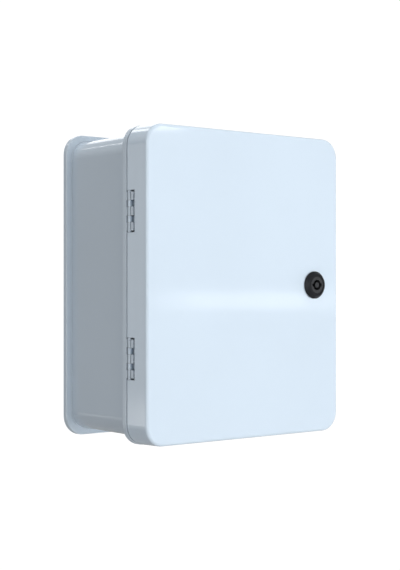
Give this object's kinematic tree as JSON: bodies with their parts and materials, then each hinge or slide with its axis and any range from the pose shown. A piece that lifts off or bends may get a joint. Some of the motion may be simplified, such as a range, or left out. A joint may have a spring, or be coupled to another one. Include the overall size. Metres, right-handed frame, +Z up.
{
  "type": "electrical enclosure",
  "caption": "Wall-mounted moulded plastic box with a rear flange, a deep hinged door with a quarter-turn key lock, a sealing gasket and an inner mounting plate.",
  "frame": {"origin": "centre of the flat rear face, which lies on the wall", "axes": "+X to the right of someone who faces the door, +Y into the wall, +Z up"},
  "size_m": [0.2503, 0.14, 0.3],
  "materials": {
    "shell_plastic": "pale blue-grey moulded plastic, semi-gloss",
    "door_plastic": "pale blue-grey moulded plastic, gloss",
    "gasket_rubber": "matt foamed rubber",
    "seal_rubber": "smooth rubber",
    "pin_steel": "drawn stainless steel",
    "lock_black": "black moulded nylon, satin",
    "core_black": "black coated die-cast insert, satin",
    "zinc_steel": "zinc-plated steel",
    "cam_steel": "zinc-plated pressed steel",
    "screw_steel": "zinc-plated screw",
    "plate_steel": "galvanised sheet with a faint spangle",
    "insert_brass": "turned brass"
  },
  "bodies": {
    "base": {"base_shell": "shell_plastic", "hinge_pin_lower": "pin_steel", "hinge_pin_upper": "pin_steel", "mounting_plate": "plate_steel", "plate_inserts": "insert_brass", "plate_washers": "zinc_steel", "plate_screws": "screw_steel"},
    "door_leaf": {"door": "door_plastic", "door_gasket": "gasket_rubber", "lock_housing": "lock_black", "lock_seal": "seal_rubber", "lock_washer": "zinc_steel", "lock_nut": "zinc_steel"},
    "lock_turner": {"lock_core": "core_black", "core_o_ring": "seal_rubber", "lock_cam": "cam_steel", "cam_washer": "zinc_steel", "cam_spring_washer": "zinc_steel", "cam_screw": "screw_steel"}
  },
  "joints": [
    {"name": "door_hinge", "type": "hinge", "parent": "base", "child": "door_leaf", "pos_m": [-0.1232, -0.1079, 0], "axis": [0, 0, -1], "range_deg": [0, 115]},
    {"name": "lock_turn", "type": "hinge", "parent": "door_leaf", "child": "lock_turner", "pos_m": [0.0902, -0.13, 0], "axis": [0, 1, 0], "range_deg": [0, 90]}
  ]
}
